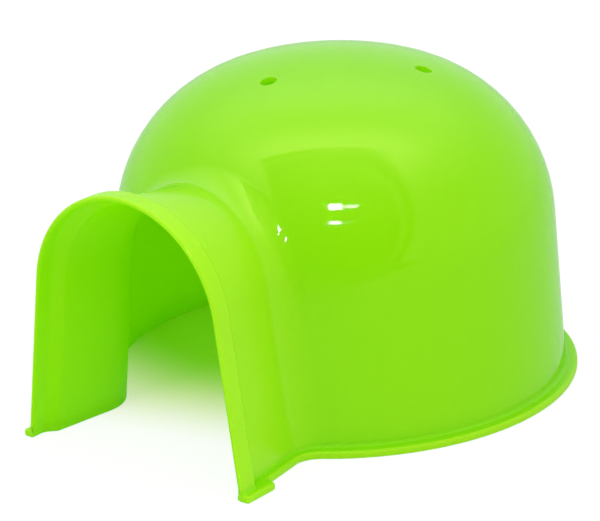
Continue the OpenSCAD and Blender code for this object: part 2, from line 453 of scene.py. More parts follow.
    def chain(self, place: Triple, depth: float, contact: float, seat_u: float) -> Chain:
        """Builds one side of the wall from the mouth to the dome.

        Args:
            place: Station on the mouth's outline.
            depth: 0 for the outside, the wall for the inside.
            contact: Offset at which the blend touches the dome.
            seat_u: Offset at which the tunnel's mesh ends on the dome.

        Returns:
            The chain of points, as many for one side as for the other.
        """
        chain = Chain()
        self.add_collar(chain, depth)
        self.add_step(chain, depth)
        centre, radius = self.blend_centre(place, contact, depth), self.blend_r + depth
        first, last = math.pi + self.flare, math.atan2(1, -self.slope(place, contact, depth))
        start = self.foot_line[-1]
        run = centre[1] + radius * math.sin(first) - start
        for y in self.foot_line + [start + share * run for share in shares(self.line_steps)[1:-1]]:
            chain.add((self.line_u(y, depth), y), self.line)
        for share in shares(self.blend_steps):
            way = heading(first + (last - first) * share)
            chain.add(centre + radius * way, (way[1], -way[0]))
        for share in shares(self.seat_steps)[1:]:
            u = contact + share * (seat_u - contact)
            chain.add((u, self.surface_y(place, u, depth)), (1, self.slope(place, u, depth)))
        return chain

    @cached_property
    def sections(self) -> list[tuple[Chain, Chain]]:
        """Builds the wall's chains.

        Returns:
            The outer and the inner chain at each station.
        """
        wall, found = self.dome.wall, []
        for place in self.mouth.stations:
            outside, inside = self.contact(place, 0), self.contact(place, wall)
            seat_u = outside + self.seat_w
            found.append((self.chain(place, 0, outside, seat_u), self.chain(place, wall, inside, seat_u)))
        return found

    def surface(self, side: int) -> Surface:
        """Places every chain in space.

        Args:
            side: 0 for the outside, 1 for the inside.

        Returns:
            Points and outward normals, station by chain index.
        """
        points, across = [], []
        for (x, z, angle), pair in zip(self.mouth.stations, self.sections):
            c, s = heading(angle)
            points.append([[x + u * c, y, z + u * s] for u, y in pair[side].points])
            across.append([[du * c, dy, du * s] for du, dy in pair[side].tangents])
        grid = np.array(points)
        normals = unit(np.cross(np.array(across), np.gradient(grid, axis=0)))
        outward = np.array([[math.cos(angle), 0, math.sin(angle)] for _, _, angle in self.mouth.stations])
        facing = np.einsum("ik,ik->i", normals[:, self.seam_index - 1], outward)
        normals *= np.sign(facing)[:, None, None]
        depth, way = self.dome.sides[side]
        for line, line_normals in zip(grid, normals):
            for k in range(-1 - self.seat_steps, 0):
                x, y, z = line[k]
                line_normals[k] = self.dome.place(self.dome.row_of(z, depth), math.atan2(y, x), depth)[1]
        return grid, way * normals


# ---------------------------------------------------------------- meshes


class Slot(Enum):
    """Material slot of a face."""

    PLASTIC = 0
    CUT = 1


class Skin:
    """Collects patches of one piece and turns them into a closed mesh with exact normals.

    Corners that agree to a number of digits are one vertex, and faces and cuts below the least
    area are left out.
    """

    digits = 4
    least_area = 1e-7
    least_cut = 1e-9
    plan_gap = 1e-6

    def __init__(self) -> None:
        """Starts with no faces."""
        self.index: dict[Triple, int] = {}
        self.points: list[np.ndarray] = []
        self.faces: list[list[int]] = []
        self.slots: list[int] = []
        self.normals: list[np.ndarray] = []

    def _vertex(self, point: np.ndarray) -> int:
        """Finds the vertex of a point.

        Args:
            point: The point.

        Returns:
            Its index, which is new if no vertex lies there yet.
        """
        key = tuple(round(float(value), self.digits) + 0.0 for value in point)
        if key not in self.index:
            self.index[key] = len(self.points)
            self.points.append(np.array(point, float))
        return self.index[key]

    def face(
        self, points: Sequence[np.ndarray], normals: Sequence[np.ndarray], slot: Slot = Slot.PLASTIC
    ) -> None:
        """Adds one face, turned to the side of its normals.

        Args:
            points: Its corners in order.
            normals: The normal at each corner.
            slot: Its material.
        """
        corners, kept = [], []
        for point, normal in zip(points, normals):
            index = self._vertex(point)
            if index not in corners:
                corners.append(index)
                kept.append(np.array(normal, float))
        if len(corners) < 3:
            return
        place = np.array([self.points[i] for i in corners])
        area = np.cross(place, np.roll(place, -1, axis=0)).sum(axis=0)
        if np.linalg.norm(area) < self.least_area:
            return
        if float(area @ np.sum(kept, axis=0)) < 0:
            corners.reverse()
            kept.reverse()
        self.faces.append(corners)
        self.slots.append(slot.value)
        self.normals.extend(kept)

    def grid(self, points: np.ndarray, normals: np.ndarray) -> None:
        """Adds a grid of quads.

        Args:
            points: Rows of points.
            normals: Their normals.
        """
        for i in range(len(points) - 1):
            for k in range(len(points[0]) - 1):
                ring = ((i, k), (i + 1, k), (i + 1, k + 1), (i, k + 1))
                self.face([points[spot] for spot in ring], [normals[spot] for spot in ring])

    def bridge(self, one: np.ndarray, two: np.ndarray, inside: np.ndarray, slot: Slot = Slot.CUT) -> None:
        """Closes a cut across the wall between two matched edges.

        Args:
            one: Points along one edge.
            two: The matched points along the other edge.
            inside: A point, or one for each pair, on the piece's own side of the cut.
            slot: The material, which is the plastic where the edge is the moulding's own.
        """
        within = np.broadcast_to(inside, one.shape)
        for i in range(len(one) - 1):
            ring = [one[i], one[i + 1], two[i + 1], two[i]]
            flat = np.cross(ring[2] - ring[0], ring[3] - ring[1])
            if np.linalg.norm(flat) < self.least_cut:
                continue
            away = (one[i] + two[i + 1]) / 2 - (within[i] + within[i + 1]) / 2
            flat = unit(flat) * (1.0 if float(flat @ away) > 0 else -1.0)
            self.face(ring, [flat] * 4, slot)

    def plan(
        self,
        loops: Sequence[np.ndarray],
        extra: np.ndarray,
        lift: Callable[[float, float], Placed],
        facing: float,
    ) -> None:
        """Fills a plan outline with triangles.

        Args:
            loops: The outline first, then the holes, as closed rings of x and y.
            extra: Points inside the outline that the triangles may use.
            lift: Function from x and y to a point and its outward normal.
            facing: 1 for an outer surface, -1 for an inner one.
        """
        flat, edges = [], []
        for loop in loops:
            start, count = len(flat), len(loop)
            flat.extend(Vector((float(x), float(y))) for x, y in loop)
            edges.extend((start + i, start + (i + 1) % count) for i in range(count))
        flat.extend(Vector((float(x), float(y))) for x, y in extra)
        spots, _, faces, origin, _, _ = delaunay_2d_cdt(flat, edges, [], 0, self.plan_gap)
        exact = [flat[o[0]] if o else spot for o, spot in zip(origin, spots)]
        for face in faces:
            middle = sum((exact[i] for i in face), Vector((0, 0))) / len(face)
            if any(inside_ring(middle, ring) != (n == 0) for n, ring in enumerate(loops)):
                continue
            placed = [lift(exact[i].x, exact[i].y) for i in face]
            self.face([np.array(p) for p, _ in placed], [facing * np.array(n) for _, n in placed])

    def build(self, name: str) -> bpy.types.Object:
        """Makes the mesh object.

        Args:
            name: Name of the piece.

        Returns:
            The object, in the part's frame.
        """
        mesh = bpy.data.meshes.new(name)
        place = (np.array(self.points) + np.array([0.0, AXIS_Y, 0.0])) * MM
        mesh.from_pydata(place.tolist(), [], self.faces)
        mesh.polygons.foreach_set("use_smooth", [True] * len(mesh.polygons))
        mesh.polygons.foreach_set("material_index", self.slots)
        mesh.normals_split_custom_set([tuple(n) for n in unit(np.array(self.normals))])
        mesh.update()
        return add_object(name, mesh)


def inside_ring(point: Vector, ring: np.ndarray) -> bool:
    """Tells whether a plan point lies inside a closed ring.

    Args:
        point: The point.
        ring: The ring's points.

    Returns:
        Whether it lies inside.
    """
    x1, y1 = ring[:, 0], ring[:, 1]
    x2, y2 = np.roll(x1, -1), np.roll(y1, -1)
    crosses = (y1 > point.y) != (y2 > point.y)
    with np.errstate(divide="ignore", invalid="ignore"):
        at = x1 + (point.y - y1) * (x2 - x1) / (y2 - y1)
    return bool(np.count_nonzero(crosses & (point.x < at)) % 2)


# ---------------------------------------------------------------- materials


class Sock:
    """A node's output socket that takes part in sums."""

    def __init__(self, shader: Shader, socket: bpy.types.NodeSocket) -> None:
        """Keeps the socket and the material it belongs to."""
        self.shader, self.socket = shader, socket

    def _math(self, operation: str, *values: object) -> Sock:
        """Adds a Math node and returns its result."""
        return self.shader.node("ShaderNodeMath", {"operation": operation}, dict(enumerate(values)))[0]

    def __add__(self, other: object) -> Sock:
        """Returns self + other."""
        return self._math("ADD", self, other)

    __radd__ = __add__

    def __mul__(self, other: object) -> Sock:
        """Returns self * other."""
        return self._math("MULTIPLY", self, other)

    __rmul__ = __mul__

    def __sub__(self, other: object) -> Sock:
        """Returns self - other."""
        return self._math("SUBTRACT", self, other)

    def __rsub__(self, other: object) -> Sock:
        """Returns other - self."""
        return self._math("SUBTRACT", other, self)

    def __truediv__(self, other: object) -> Sock:
        """Returns self / other."""
        return self._math("DIVIDE", self, other)

    def __rtruediv__(self, other: object) -> Sock:
        """Returns other / self."""
        return self._math("DIVIDE", other, self)

    def __abs__(self) -> Sock:
        """Returns the value without its sign."""
        return self._math("ABSOLUTE", self)


class Made:
    """A node that was made, with its outputs by name or number."""

    def __init__(self, shader: Shader, node: bpy.types.Node) -> None:
        """Keeps the node."""
        self.shader, self.node = shader, node

    def __getitem__(self, key: str | int) -> Sock:
        """Returns an output socket."""
        return Sock(self.shader, self.node.outputs[key])


class Shader:
    """Builds the nodes of one material or world."""

    def __init__(self, tree: bpy.types.NodeTree) -> None:
        """Starts from an empty tree."""
        self.tree = tree
        tree.nodes.clear()

    def node(
        self, kind: str, settings: dict[str, object] | None = None, values: dict[object, object] | None = None
    ) -> Made:
        """Adds a node.

        Args:
            kind: Type name of the node.
            settings: Properties that are set first.
            values: Numbers, colours or links for its input sockets.

        Returns:
            The node.
        """
        made = self.tree.nodes.new(kind)
        for key, value in (settings or {}).items():
            setattr(made, key, value)
        for key, value in (values or {}).items():
            if isinstance(value, Made):
                value = value[0]
            if isinstance(value, Sock):
                self.tree.links.new(value.socket, made.inputs[key])
            else:
                made.inputs[key].default_value = value
        return Made(self, made)

    def vector(self, operation: str, *values: object) -> Made:
        """Adds a Vector Math node."""
        return self.node("ShaderNodeVectorMath", {"operation": operation}, dict(enumerate(values)))

    def along(self, vector: Sock, axis: Sock | Triple) -> Sock:
        """Returns the part of a vector along an axis."""
        return self.vector("DOT_PRODUCT", vector, axis)["Value"]

    def high(self, one: object, two: object) -> Sock:
        """Returns the larger of two values."""
        return self.node("ShaderNodeMath", {"operation": "MAXIMUM"}, {0: one, 1: two})[0]

    def rise(self, value: Sock, band: Band) -> Sock:
        """Returns 0 below a band of values, 1 above it and a smooth rise within it."""
        values = dict(enumerate((value, *band, 0.0, 1.0)))
        return self.node("ShaderNodeMapRange", {"interpolation_type": "SMOOTHSTEP"}, values)[0]

    def fall(self, value: Sock, band: Band) -> Sock:
        """Returns 1 below a band of values, 0 above it and a smooth fall within it."""
        return 1.0 - self.rise(value, band)

    def strip(self, value: Sock, up: Band, down: Band) -> Sock:
        """Returns 1 between two bands of values and 0 outside them."""
        return self.rise(value, up) * self.fall(value, down)

    def mix(self, share: Sock, one: object, two: object) -> Sock:
        """Mixes two colours, 0 for the first and 1 for the second."""
        return self.node("ShaderNodeMix", {"data_type": "RGBA"}, {0: share, 6: one, 7: two})[2]

    def layer(self, share: Sock, one: Made, two: Made) -> Made:
        """Mixes two surfaces, 0 for the first and 1 for the second."""
        return self.node("ShaderNodeMixShader", None, {0: share, 1: one, 2: two})


def new_material(name: str) -> tuple[bpy.types.Material, Shader]:
    """Returns a new material and the builder of its nodes."""
    material = bpy.data.materials.new(name)
    material.use_nodes = True
    return material, Shader(material.node_tree)


@dataclass(frozen=True)
class LimePlastic:
    """Thin gloss polystyrene that lets some light through.

    Bands of height and depth are in metres. The depth is measured from the dome's axis.
    """

    base: Colour = (0.36, 0.80, 0.003, 1.0)
    pale: Colour = (0.39, 0.82, 0.006, 1.0)
    # painted light: the wall is lighter and yellower near the mouth, where light comes in at the doorway
    mouth: Colour = (0.47, 0.83, 0.015, 1.0)
    # painted light: the inner side of the wall is lighter and yellower, standing for the light inside the
    # shelter
    inside: Colour = (0.46, 0.81, 0.001, 1.0)
    # painted light: the flange below its top edge is lighter and yellower
    edge: Colour = (0.48, 0.85, 0.012, 1.0)
    # painted shade: darker green low on the wall and on the flange's top, where the wall meets the flange
    fillet_shade: Colour = (0.29, 0.75, 0.003, 1.0)
    through: Colour = (0.52, 0.94, 0.01, 1.0)
    gloss_tint: Colour = (0.95, 0.75, 0.3, 1.0)
    outer_share: float = 0.45
    inner_share: float = 0.68
    ior: float = 1.6
    gloss_roughness: float = 0.05
    flow_roughness: float = 0.04
    foot_roughness: float = 0.3
    mouth_roughness: float = 0.2
    flow_noise: Pair = (22.0, 3.0)
    flow_share: float = 0.35
    grain_noise: Pair = (900.0, 2.0)
    grain_strength: float = 0.02
    grain_height: float = 0.0002
    core_z: float = -0.02
    facing_band: Band = (-0.1, 0.1)
    tunnel_band: Band = (-0.075, -0.055)
    lit_mouth_band: Band = (-0.082, -0.05)
    matt_band: Band = (-0.088, -0.066)
    lit_edge_band: Band = (0.0020, 0.0027)
    fillet_shade_band: Band = (0.0028, 0.0043)
    foot_band: Band = (0.0038, 0.0055)

    def inner_mask(self, shader: Shader, normal: Sock, from_core: Sock, depth: Sock) -> Sock:
        """Tells the wall's inside from its outside.

        Args:
            shader: Builder of the material's nodes.
            normal: Normal of the surface.
            from_core: Place as seen from a point low on the dome's axis.
            depth: Place along the tunnel.

        Returns:
            0 on the outside and 1 on the inside.
        """
        share = shader.rise(depth, self.tunnel_band)
        length = shader.node("ShaderNodeCombineXYZ", None, {0: 1.0, 1: share, 2: 1.0})
        outward = shader.vector("NORMALIZE", shader.vector("MULTIPLY", from_core, length))[0]
        turned = 1.0 - shader.node("ShaderNodeNewGeometry")["Backfacing"] * 2.0
        return shader.fall(shader.along(normal, outward) * turned, self.facing_band)

    def make(self) -> bpy.types.Material:
        """Makes the material.

        Returns:
            The material, with painted light that makes it lighter and yellower at the mouth, on the inside
            and at the flange's edge, and painted shade that makes it darker where the wall meets the flange.
        """
        material, shader = new_material("lime_plastic")
        coords = shader.node("ShaderNodeTexCoord")
        spot = coords["Object"]
        flow, grain = (
            shader.node("ShaderNodeTexNoise", None, {"Vector": spot, "Scale": scale, "Detail": detail})[0]
            for scale, detail in (self.flow_noise, self.grain_noise)
        )
        from_core = shader.vector("SUBTRACT", spot, (0.0, AXIS_Y * MM, self.core_z))[0]
        depth, height = shader.along(from_core, (0, 1, 0)), shader.along(spot, (0, 0, 1))
        inner = self.inner_mask(shader, coords["Normal"], from_core, depth)
        colour = shader.mix(flow * self.flow_share, self.base, self.pale)
        # painted light near the mouth
        colour = shader.mix(shader.fall(depth, self.lit_mouth_band), colour, self.mouth)
        # painted shade darkens the wall just above the flange
        colour = shader.mix(shader.fall(height, self.fillet_shade_band), colour, self.fillet_shade)
        # painted light on the inner side of the wall
        colour = shader.mix(inner, colour, self.inside)
        # painted light on the flange's edge
        colour = shader.mix(shader.fall(height, self.lit_edge_band), colour, self.edge)
        foot = shader.fall(height, self.foot_band) * self.foot_roughness
        mouth = shader.fall(depth, self.matt_band) * self.mouth_roughness
        bump = {"Strength": self.grain_strength, "Distance": self.grain_height, "Height": grain}
        values = {
            "Base Color": colour,
            "Roughness": flow * self.flow_roughness + self.gloss_roughness + shader.high(foot, mouth),
            "IOR": self.ior,
            "Specular Tint": self.gloss_tint,
            "Normal": shader.node("ShaderNodeBump", None, bump),
        }
        gloss = shader.node("ShaderNodeBsdfPrincipled", None, values)
        through = shader.node("ShaderNodeBsdfTranslucent", None, {"Color": self.through})
        share = inner * (self.inner_share - self.outer_share) + self.outer_share
        shader.node("ShaderNodeOutputMaterial", None, {"Surface": shader.layer(share, gloss, through)})
        return material


def cut_material() -> bpy.types.Material:
    """Returns the clear material of the cuts inside the moulding, which lets its light pass."""
    material, shader = new_material("moulding_cut")
    shader.node("ShaderNodeOutputMaterial", None, {"Surface": shader.node("ShaderNodeBsdfTransparent")})
    return material


# ---------------------------------------------------------------- pieces


@dataclass
class Crown:
    """Flat-domed crown with its vent holes."""

    dome: Dome
    ring: list[float]
    vent_count: int = 3
    vent_d: float = 5.0
    vent_margin: float = 0.6
    vent_back: float = 2.5
    vent_turn: float = math.radians(-9)
    vent_steps: int = 40
    edge_r: float = 0.12
    edge_steps: int = 5
    fill_rings: int = 14
    fill_count: int = 6
    fill_gap: float = 2.6
    fill_clear: float = 0.9

    @cached_property
    def vents(self) -> list[Pair]:
        """Spreads the vents on a circle as wide as the crown's inner edge leaves.

        Returns:
            The centre of each vent hole.
        """
        turns = [self.vent_turn - QUARTER + i * math.tau / self.vent_count for i in range(self.vent_count)]
        share = max(math.sin(turn) for turn in turns)
        edge = (self.dome.crown_r - self.dome.wall) * math.cos(self.dome.crown_angle)
        reach = edge - self.vent_margin - self.vent_d / 2
        radius = math.sqrt(reach**2 - self.vent_back**2 * (1 - share**2)) - self.vent_back * share
        return [(radius * math.cos(turn), self.vent_back + radius * math.sin(turn)) for turn in turns]

    @cached_property
    def lip_r(self) -> float:
        """Radius at which a vent's rounded edge meets the crown."""
        return self.vent_d / 2 + self.edge_r

    @cached_property
    def vent_ways(self) -> np.ndarray:
        """Directions of the points round a vent, the first one again at the end."""
        return np.array([heading(math.tau * share) for share in shares(self.vent_steps)])

    def fill_points(self, radius: float) -> np.ndarray:
        """Spreads points over the crown's plan.

        Args:
            radius: Radius of the crown's edge.

        Returns:
            The points, clear of the vents and the edge.
        """
        spots = [(0.0, 0.0)]
        for ring in range(1, self.fill_rings):
            r = radius * ring / self.fill_rings
            count = max(self.fill_count, round(math.tau * r / self.fill_gap))
            turns = (math.tau * (i + 0.5 * (ring % 2)) / count for i in range(count))
            spots += [(r * math.cos(turn), r * math.sin(turn)) for turn in turns]
        clear = self.lip_r + self.fill_clear
        return np.array([s for s in spots if all(math.dist(s, v) > clear for v in self.vents)])

    def vent_wall(self, skin: Skin, centre: Pair) -> None:
        """Adds the rounded wall of one vent.

        Args:
            skin: The piece's patches.
            centre: Centre of the vent in plan.
        """
        rows = []
        for depth, up in self.dome.sides:
            part = []
            for share in shares(self.edge_steps):
                c, s = heading(QUARTER * share)
                line = []
                for way in self.vent_ways:
                    lip_z = self.dome.crown_point(*(centre + self.lip_r * way), depth)[0][2]
                    x, y = centre + (self.vent_d / 2 + self.edge_r * (1 - s)) * way
                    z = lip_z - up * self.edge_r * (1 - c)
                    line.append(([x, y, z], [-way[0] * s, -way[1] * s, up * c]))
                part.append(line)
            rows += part if up > 0 else part[::-1]
        skin.grid(*split(rows))

    def build(self) -> bpy.types.Object:
        """Builds the piece.

        Returns:
            The crown as one closed piece.
        """
        skin, edges = Skin(), []
        for depth, facing in self.dome.sides:
            edge = np.array([self.dome.place(2.0, turn, depth)[0] for turn in self.ring])
            edges.append(np.vstack([edge, edge[:1]]))
            loops = [edge[:, :2]] + [vent + self.lip_r * self.vent_ways[:-1] for vent in self.vents]
            lift = partial(self.dome.crown_point, depth=depth)
            skin.plan(loops, self.fill_points(float(np.hypot(*edge[0, :2]))), lift, facing)
        for vent in self.vents:
            self.vent_wall(skin, vent)
        skin.bridge(*edges, np.array([0.0, 0.0, self.dome.height]))
        return skin.build("crown_cap")


@dataclass
class DomeShell:
    """Wall and shoulder of the dome, with the opening for the tunnel."""

    dome: Dome
    tunnel: Tunnel
    frame_half: float = math.radians(66)
    frame_steps: int = 12
    rest_steps: int = 114

    @cached_property
    def corner(self) -> int:
        """Station at which the frame round the opening turns from its side to its top."""
        mouth = self.tunnel.mouth
        step = (math.pi - 2 * mouth.lean) / mouth.arch_steps
        return mouth.leg_steps + round((math.pi / 4 - mouth.lean) / step)

    @cached_property
    def frame_places(self) -> list[Pair]:
        """Places each station's point on the frame.

        Returns:
            Their rows and turns.
        """
        last, found = len(self.tunnel.mouth.stations) - 1, []
        for i in range(last + 1):
            beside = min(i, last - i, self.corner)
            across = min(max((i - self.corner) / (last - 2 * self.corner), 0.0), 1.0)
            found.append((2 * beside / self.corner, self.frame_half * (1 - 2 * across) - QUARTER))
        return found

    @cached_property
    def rest_turns(self) -> list[float]:
        """Turns of the columns behind the frame, right side to left side."""
        span = 2 * (math.pi - self.frame_half)
        return [self.frame_half - QUARTER + span * share for share in shares(self.rest_steps)]

    @cached_property
    def crown_ring(self) -> list[float]:
        """Turns of the points along the edge of the crown, once round."""
        top = [turn for _, turn in self.frame_places[self.corner : len(self.frame_places) - self.corner]]
        return top[::-1] + self.rest_turns[1:-1]

    def near(self, depth: float) -> Surface:
        """Places the patch between the opening and the frame.

        Args:
            depth: Distance below the outer surface.

        Returns:
            Points and outward normals, station by step.
        """
        table = []
        stations = zip(self.tunnel.mouth.stations, self.tunnel.sections, self.frame_places)
        for (x, z, angle), (outer, _), (frame_row, frame_turn) in stations:
            u = outer.points[-1][0]
            x, z = x + u * math.cos(angle), z + u * math.sin(angle)
            y = self.dome.front_y(x, z, depth)
            row, turn = self.dome.row_of(z, depth), math.atan2(y, x)
            line = [
                self.dome.place(row + share * (frame_row - row), turn + share * (frame_turn - turn), depth)
                for share in shares(self.frame_steps)
            ]
            line[0] = ([x, y, z], line[0][1])
            table.append(line)
        return split(table)

    def far(self, depth: float) -> Surface:
        """Returns the points and normals of the rest of the wall and shoulder, row by column."""
        rows = [2 * share for share in shares(self.corner)]
        return split([[self.dome.place(row, turn, depth) for turn in self.rest_turns] for row in rows])

    def build(self) -> bpy.types.Object:
        """Builds the piece.

        Returns:
            The wall and shoulder as one closed piece.
        """
        skin, near, far = Skin(), [], []
        for depth, side in self.dome.sides:
            for tables, (points, normals) in ((near, self.near(depth)), (far, self.far(depth))):
                skin.grid(points, side * normals)
                tables.append(points)
        every, top = slice(None), slice(self.corner, len(near[0]) - self.corner)
        for (outer, inner), edge, beside in (
            (near, (every, 0), (every, 1)),
            (far, -1, -2),
            (far, 0, 1),
            (near, (top, -1), (top, -2)),
            (near, 0, 1),
            (near, -1, -2),
        ):
            skin.bridge(outer[edge], inner[edge], outer[beside])
        return skin.build("dome_body")


@dataclass
class Entrance:
    """The collar and the three parts of the tunnel, cut from one swept surface."""

    tunnel: Tunnel

    @cached_property
    def surfaces(self) -> list[Surface]:
        """Outer and inner surface with their normals."""
        return [self.tunnel.surface(side) for side in (0, 1)]

    def part(self, name: str, stations: slice, columns: slice) -> bpy.types.Object:
        """Cuts one closed piece out of the swept surface.

        Args:
            name: Name of the piece.
            stations: Its stations.
            columns: Its chain indices.

        Returns:
            The piece.
        """
        skin = Skin()
        cut = [[table[stations, columns] for table in surface] for surface in self.surfaces]
        for points, normals in cut:
            skin.grid(points, normals)
        outer, inner = cut[0][0], cut[1][0]
        for end, beside in ((0, 1), (-1, -2)):
            skin.bridge(outer[end], inner[end], outer[beside])
            rim = columns.start == 0 and end == 0
            skin.bridge(outer[:, end], inner[:, end], outer[:, beside], Slot.PLASTIC if rim else Slot.CUT)
        return skin.build(name)

    def build(self) -> dict[str, bpy.types.Object]:
        """Builds the four pieces.

        Returns:
            The collar and the parts of the tunnel by name.
        """
        legs, seam = self.tunnel.mouth.leg_steps, self.tunnel.seam_index
        last = len(self.tunnel.mouth.stations) - 1
        spans = {
            "entrance_collar": (slice(0, last + 1), slice(0, seam + 1)),
            "right_tunnel_wall": (slice(0, legs + 1), slice(seam, None)),
            "tunnel_roof": (slice(legs, last - legs + 1), slice(seam, None)),
            "left_tunnel_wall": (slice(last - legs, last + 1), slice(seam, None)),
        }
        return {name: self.part(name, *span) for name, span in spans.items()}


@dataclass(frozen=True)
class Column:
    """Plan of one cut through the flange: its places, directions and the wall's slope."""

    wall: np.ndarray
    back: np.ndarray
    toe: np.ndarray
    edge: np.ndarray
    facing: np.ndarray
    inward: np.ndarray
    lean: float
    inset: float = 0.0


@dataclass
class BaseRing:
    """Base flange and feet, swept as one closed section along the foot of the wall."""

    dome: Dome
    tunnel: Tunnel
    shell: DomeShell
    flange_t: float = 2.5
    flange_w: float = 3.6
    leg_flange_w: float = 2.3
    foot_w: float = 2.3
    toe: float = 1.3
    toe_lead: float = 0.5
    sole_r: float = 0.8
    arc_steps: int = 6

    @cached_property
    def ring_w(self) -> float:
        """Width of the flange beyond the foot of the dome's wall."""
        return self.dome.base_r + self.flange_w - self.dome.radius(self.dome.foot_z, 0)

    def tunnel_columns(self) -> list[Column]:
        """Lists the columns of the tunnel's right side.

        Returns:
            The columns from the mouth to the blend's end.
        """
        tunnel, mouth, steps = self.tunnel, self.tunnel.mouth, self.tunnel.arc_steps
        outer, inner = tunnel.sections[0]
        foot = np.array([mouth.stations[0][0], 0.0])
        outer_x = mouth.leg_x(self.flange_t) + self.foot_w
        lean_w = self.leg_flange_w + (self.dome.foot_z - self.flange_t) * math.tan(mouth.lean)
        flare_cos = math.cos(tunnel.flare)
        turn = tunnel.seam_index + 1 + 2 * (steps + 1)
        bend, bend_end = turn + steps, turn + 2 * steps
        fringe = foot[0] + tunnel.line_u(tunnel.foot_back + tunnel.foot_inner_r, 0) + lean_w / flare_cos
        last = len(outer.points) - 1
        columns = []
        for k, ((u, y), (du, dy)) in enumerate(zip(outer.points, outer.tangents)):
            wall, back, normal = foot + (u, y), foot + inner.points[k], np.array([dy, -du])
            share = smoothstep(last - tunnel.seat_steps - tunnel.blend_steps, last, k)
            if k < turn:
                facing, edge = np.array([1.0, 0.0]), np.array([outer_x, y])
            elif k <= bend:
                facing = heading(QUARTER * (k - turn) / steps)
                edge = np.array([outer_x, tunnel.foot_back]) - tunnel.foot_corner_r * (1 - facing)
            elif k <= bend_end:
                facing = heading(QUARTER * (bend_end - k) / steps)
                edge = np.array([fringe, tunnel.foot_back]) + tunnel.foot_inner_r * (1 - facing)
            else:
                facing, edge = normal, wall + normal * (lean_w + share * (self.ring_w - lean_w))
            toe = wall + normal * self.toe
            if k <= bend_end:
                fade = smoothstep(tunnel.collar_y - self.toe_lead, tunnel.foot_back, y)
                line_toe = tunnel.line_u(y, 0) + self.toe / flare_cos
                toe = foot + (self.toe + fade * (line_toe - self.toe), y)
            lean = mouth.lean + share * (self.dome.draft - mouth.lean)
            columns.append(Column(wall, back, toe, edge, facing, -normal, lean, -u if k < steps else 0.0))
        return columns

    def dome_columns(self) -> list[Column]:
        """Lists the columns of the dome's right side.

        Returns:
            The columns from the blend's end to the back.
        """
        sides = []
        for depth, _ in self.dome.sides:
            near, far = self.shell.near(depth)[0][0], self.shell.far(depth)[0][0]
            sides.append(np.vstack([near[1:], far[1 : len(far) // 2 + 1]])[:, :2])
        columns = []
        for wall, back in zip(*sides):
            out = unit(wall)
            toe, edge = wall + out * self.toe, wall + out * self.ring_w
            columns.append(Column(wall, back, toe, edge, out, -unit(back), self.dome.draft))
        return columns

    def section(self, column: Column) -> tuple[list[np.ndarray], list[np.ndarray]]:
        """Lays out one closed section.

        Args:
            column: Where the section lies.

        Returns:
            Its points and its directions, from the wall's foot outside, under the flange and up
            to the wall's foot inside.
        """
        edge, facing, inward, inset = column.edge, column.facing, column.inward, column.inset
        foot_z, edge_r, sole_r = self.dome.foot_z, self.tunnel.foot_edge_r, self.sole_r
        wall, back = column.wall + (inset, 0), column.back - (inset, 0)
        points: list[np.ndarray] = []
        ways: list[np.ndarray] = []

        def put(
            plan: np.ndarray, z: float, out: np.ndarray, across: float, up: float, side: float = 1.0
        ) -> None:
            """Adds a point whose section normal is across along out, and up."""
            across, up = unit(np.array([across, up]))
            points.append(np.array([*(plan - out * across * inset), z - up * inset]))
            ways.append(side * np.array([*(out * up), -across]))

        span = float(np.linalg.norm(column.toe - wall))
        out = (column.toe - wall) / span
        rise = (foot_z - self.flange_t) / (1 - math.sin(column.lean))
        run = span / math.cos(column.lean)
        for share in shares(self.arc_steps):
            c, s = heading(column.lean + (QUARTER - column.lean) * share)
            put(column.toe - out * run * c, self.flange_t + rise * (1 - s), out, c / run, s / rise)
        arc = [heading(QUARTER * share) for share in shares(self.arc_steps)]
        for c, s in arc:
            put(edge - facing * edge_r * (1 - s), self.flange_t - edge_r * (1 - c), facing, s, c)
        for c, s in arc:
            put(edge - facing * sole_r * (1 - c), sole_r * (1 - s), facing, c, -s)
        base = back - inward * foot_z * math.tan(column.lean)
        for c, s in reversed(arc):
            put(base - inward * sole_r * (1 - c), sole_r * (1 - s), inward, c, -s, -1.0)
        put(back, foot_z, inward, 1.0, -math.tan(column.lean), -1.0)
        points[0], points[-1] = (np.array([*plan, foot_z]) for plan in (column.wall, column.back))
        if inset > 0:
            for point in points:
                point[1] = column.wall[1]
        return points, ways

    def build(self) -> bpy.types.Object:
        """Builds the piece.

        Returns:
            The flange with both feet as one closed piece.
        """
        columns = self.tunnel_columns() + self.dome_columns()
        half = split([list(zip(*self.section(column))) for column in columns])
        points, ways = (np.concatenate([side, side[-2::-1] * (-1.0, 1.0, 1.0)]) for side in half)
        normals = unit(np.cross(np.gradient(points, axis=0), ways))
        normals *= np.sign(normals[:, self.arc_steps + 1, 2])[:, None, None]
        normals[0] = normals[-1] = (0.0, -1.0, 0.0)
        skin = Skin()
        skin.grid(points, normals)
        skin.bridge(points[:, 0], points[:, -1], points[:, 0] - (0, 0, 1))
        for end in (0, -1):
            skin.face(points[end], normals[end])
        return skin.build("base_flange")


# ---------------------------------------------------------------- studio


